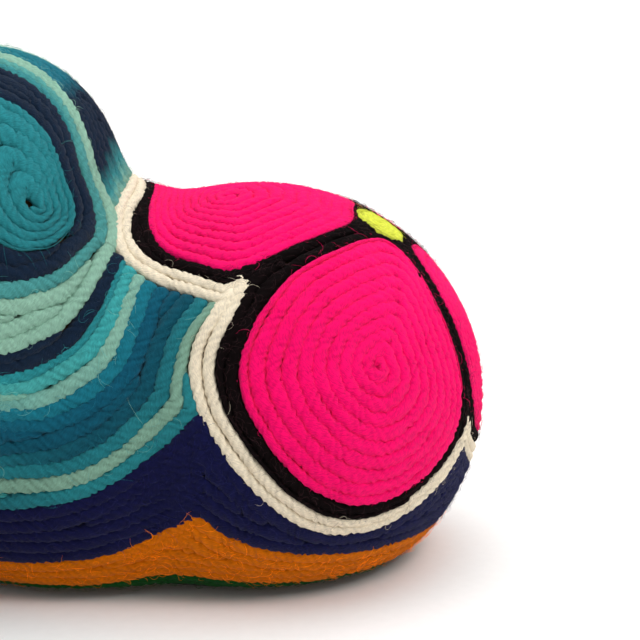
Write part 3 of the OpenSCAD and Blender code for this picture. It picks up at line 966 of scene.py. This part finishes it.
class BuildCheeks(bpy.types.Operator):
    """Lays the variegated rows of the cheeks and the brow"""

    bl_idname = "yarn_head.cheeks"
    bl_label = "Cheeks and brow"

    def execute(self, context):
        s = settings()
        navy = bpy.data.materials["wool_dyed_navy"]
        teal = wool(
            "wool_space_dyed_teal", [(0.0, s.teal), (0.55, "#2FA0A6"), (1.0, "#5FB0A4")], 0.6
        )
        mint = wool(
            "wool_space_dyed_mint", [(0.0, "#7DBFAE"), (0.4, s.mint), (1.0, "#3C9A9C")], 0.65
        )
        sea = wool(
            "wool_space_dyed_sea",
            [(0.0, "#1E8091"), (0.35, s.sea), (0.7, "#125264"), (1.0, "#2A8890")], 0.6,
        )
        pale = wool(
            "wool_space_dyed_pale", [(0.0, s.mint), (0.6, "#7FA894"), (1.0, "#66917F")], 0.65
        )
        foot = wool(
            "wool_space_dyed_deep", [(0.0, "#3A9A97"), (0.5, s.teal), (1.0, "#15304A")], 0.6
        )
        fields = (
            ("navy", navy, "navy_yarn"), ("teal", teal, "teal_yarn"),
            ("mint", mint, "mint_yarn"), ("blue", sea, "sea_blue_yarn"),
            ("pale", pale, "mint_yarn"), ("edge", foot, "teal_yarn"),
        )
        t = np.linspace(0, 1, 150)
        for side, turned in (("left", False), ("right", True)):
            for i, (word, dye, slot) in enumerate(fields):
                grid = []
                for f in np.linspace(0, 1, 6):
                    share = mix(cheek_share(i, t), cheek_share(i + 1, t), f)
                    row = drop(cheek_at(t, share))
                    grid.append(flip_y(row) if turned else row)
                k = Skein((90 if turned else 80) + i, s)
                k.rows(grid)
                # Mild painted highlight on the stray fibres
                k.fibres(s.fuzz, pale=1.0)
                k.piece(f"cheek_{word}_{side}_yarn", dye, slot, f"cheek_{word}_{side}")
        brow = wool(
            "wool_space_dyed_brow",
            [
                (0.0, "#86B8A4"), (0.08, "#3A8F92"), (0.17, s.navy), (0.38, s.navy),
                (0.5, "#1E6E80"), (1.0, "#2F8F94"),
            ],
            0.6,
        )
        t = np.linspace(0, 1, 90)
        grid = [drop(brow_at(t, 0 * t + f)) for f in np.linspace(0, 1, 9)]
        k = Skein(99, s)
        k.rows(grid, along=True)
        k.fibres(s.fuzz)
        k.piece("brow_rows_yarn", brow, "teal_yarn", "brow_rows")
        return {"FINISHED"}


class BuildBands(bpy.types.Operator):
    """Lays the blue, orange and green bands"""

    bl_idname = "yarn_head.bands"
    bl_label = "Bands"

    def execute(self, context):
        s = settings()
        royal = wool("wool_dyed_royal", [(0, s.royal)], 0.6, sheen=0.2)
        orange = wool("wool_dyed_orange", [(0, s.orange)], 0.6)
        green = wool("wool_dyed_green", [(0, s.green)], 0.6)
        nape = cheek_low(np.linspace(CREAM_SHARE, 1, 120))
        top = np.concatenate([
            nape[:0:-1],
            edge(0, np.linspace(MEET_T, 0, 60, endpoint=False)),
            edge(3, np.linspace(1, 0, 60, endpoint=False)),
            edge(2, np.linspace(1, 1 - MEET_T, 60, endpoint=False)),
            flip_y(nape)[:-1],
        ])
        az = np.degrees(np.arctan2(top[:, 1] - HEART[1], top[:, 0] - HEART[0]))
        mid, low = level(az, orange_z(az)), level(az, green_z(az))
        foot = level(az, FOOT_T + FOOT_LIP)
        for i, (a, b, word, dye) in enumerate((
            (top, mid, "blue", royal), (mid, low, "orange", orange), (low, foot, "green", green),
        )):
            k = Skein(110 + i, s)
            k.rows([mix(a, b, f) for f in (0, 0.25, 0.5, 0.75, 1)], closed=True)
            # Painted highlight: stray fibres on the bands are brightened
            k.fibres(s.fuzz * 1.5, pale=4.0)
            slot = {"blue": "royal_yarn"}.get(word, f"{word}_yarn")
            k.piece(f"{word}_band_yarn", dye, slot, f"{word}_band")
        return {"FINISHED"}


EAR_AT = np.array([-40.0, -29.0, 85.0])
EAR_UP = unit(np.array([-0.1, -0.5, 0.85]))
EAR_SIDE = unit(np.cross(EAR_UP, [1, 0.35, 0]))
EAR_FORE = np.cross(EAR_SIDE, EAR_UP)
# Height, width and depth of an ear where it meets the head, in millimetres
EAR_TALL, EAR_WIDE, EAR_DEEP = 21.0, 30.0, 13.0


def ear_points(a, t, wide_mm, deep_mm, tall_mm):
    """Points of an ear's outside at an angle round it and a share of its height."""
    a, t = np.broadcast_arrays(np.asarray(a, float), np.asarray(t, float))
    fall = np.sqrt(np.maximum(0, 1 - t * t))
    ra = np.radians(a)
    p = (
        drop(EAR_AT) * STRETCH
        + EAR_SIDE * (np.cos(ra) * wide_mm / 2 * mix(0.15, 1, fall))[..., None]
        + EAR_FORE * (np.sin(ra) * deep_mm / 2 * mix(0.4, 1, fall))[..., None]
    )
    base = drop(p / STRETCH) * STRETCH
    return base + unit(base - HEART * STRETCH) * 0.2 + EAR_UP * (tall_mm * t)[..., None]


class BuildEars(bpy.types.Operator):
    """Lays yarn over the ears"""

    bl_idname = "yarn_head.ears"
    bl_label = "Ears"

    def execute(self, context):
        s = settings()
        mint = bpy.data.materials["wool_dyed_mint"]
        navy = bpy.data.materials["wool_dyed_navy"]
        tall, wide, deep = EAR_TALL, EAR_WIDE, EAR_DEEP
        for side, turned in (("left", False), ("right", True)):
            for j, (word, start, dye, slot) in enumerate((
                ("front", 0, mint, "mint_yarn"), ("back", 180, navy, "navy_yarn"),
            )):
                k = Skein((130 if turned else 120) + j, s)
                a = np.linspace(start + 4, start + 176, 60)
                rows = 8
                for r in range(rows):
                    t = (r + 0.5) / rows
                    p = ear_points(a, t, wide, deep, tall)
                    step = 0.5 / rows
                    lower = ear_points(a, max(0, t - step), wide, deep, tall)
                    upper = ear_points(a, min(1, t + step), wide, deep, tall)
                    slope = np.gradient(p, axis=0)
                    out = unit(np.cross(slope, upper - lower))
                    core = ear_points(a, t, wide * 0.5, deep * 0.5, tall * 0.8)
                    out = out * np.sign(((p - core) * out).sum(-1, keepdims=True))
                    half = np.linalg.norm(upper - lower, axis=1) / 2
                    if turned:
                        p, out = flip_y(p), flip_y(out)
                    k.lay(
                        p, np.minimum(half, 2.2), np.full(60, t),
                        on_skin=False, normals=out, proud=0.0,
                    )
                k.piece(f"ear_{word}_{side}_yarn", dye, slot, f"ear_{word}_{side}")
        return {"FINISHED"}


class BuildStage(bpy.types.Operator):
    """Sets the floor, the lights and the camera"""

    bl_idname = "yarn_head.stage"
    bl_label = "Stage"

    def execute(self, context):
        scene = context.scene
        # Matt pale paper sweep: even and near white
        paper = plain("paper_matt_pale", "#EFEEEC", "#EDECEA", 0.9, 400, bump=0.0)
        size = 4.0
        me = bpy.data.meshes.new("floor")
        me.from_pydata(
            [(-size, -size, 0), (size, -size, 0), (size, size, 0), (-size, size, 0)],
            [], [(0, 1, 2, 3)],
        )
        floor = bpy.data.objects.new("floor", me)
        me.materials.append(paper)
        scene.collection.objects.link(floor)
        world = bpy.data.worlds.new("soft_daylight")
        world.use_nodes = True
        world.node_tree.nodes["Background"].inputs[0].default_value = (1, 1, 1, 1)
        world.node_tree.nodes["Background"].inputs[1].default_value = 0.4
        scene.world = world
        low, high = (Vector(v) for v in CAD_BOX)
        centre = (low + high) / 2
        for name, at, power, width in (
            ("overhead_softbox", (0.05, 0.5, 2.4), 104.0, 4.0),
            ("key_right", (0.45, -0.35, 0.6), 2.2, 0.3),
        ):
            lamp = bpy.data.lights.new(name, "AREA")
            lamp.energy, lamp.size = power, width
            o = bpy.data.objects.new(name, lamp)
            o.location = at
            o.rotation_euler = (centre - Vector(at)).to_track_quat("-Z", "Y").to_euler()
            scene.collection.objects.link(o)
        cam = bpy.data.cameras.new("camera")
        # From 14 degrees up, close enough for the frame to be 134.4 mm wide at the head
        distance, tilt, frame_width = 0.42, math.radians(14), 0.1344
        cam.sensor_width = 36.0
        cam.lens = cam.sensor_width * distance / frame_width
        o = bpy.data.objects.new("camera", cam)
        target = Vector((0.0502, 0.0, 0.0493))
        back = Vector((0, -math.cos(tilt), math.sin(tilt)))
        o.location = target + back * distance
        o.rotation_euler = (-back).to_track_quat("-Z", "Y").to_euler()
        scene.collection.objects.link(o)
        scene.camera = o
        scene.view_settings.view_transform = "Standard"
        return {"FINISHED"}


BUILDERS = (
    BuildCore, BuildFlower, BuildOutlines, BuildEyes, BuildCheeks, BuildBands,
    BuildEars, BuildStage,
)


class YarnHeadPanel(bpy.types.Panel):
    """Shows the settings and one button for each builder"""

    bl_idname = "VIEW3D_PT_yarn_head"
    bl_label = "Yarn Head"
    bl_space_type = "VIEW_3D"
    bl_region_type = "UI"
    bl_category = "Yarn Head"

    def draw(self, context):
        for key in YarnHeadSettings.__annotations__:
            self.layout.prop(context.scene.yarn_head, key)
        for builder in BUILDERS:
            self.layout.operator(builder.bl_idname)


def register():
    for c in (YarnHeadSettings, *BUILDERS, YarnHeadPanel):
        bpy.utils.register_class(c)
    bpy.types.Scene.yarn_head = PointerProperty(type=YarnHeadSettings)


def unregister():
    del bpy.types.Scene.yarn_head
    for c in (YarnHeadPanel, *reversed(BUILDERS), YarnHeadSettings):
        bpy.utils.unregister_class(c)


def main():
    register()
    for builder in BUILDERS:
        group, name = builder.bl_idname.split(".")
        getattr(getattr(bpy.ops, group), name)()


if __name__ == "__main__":
    main()
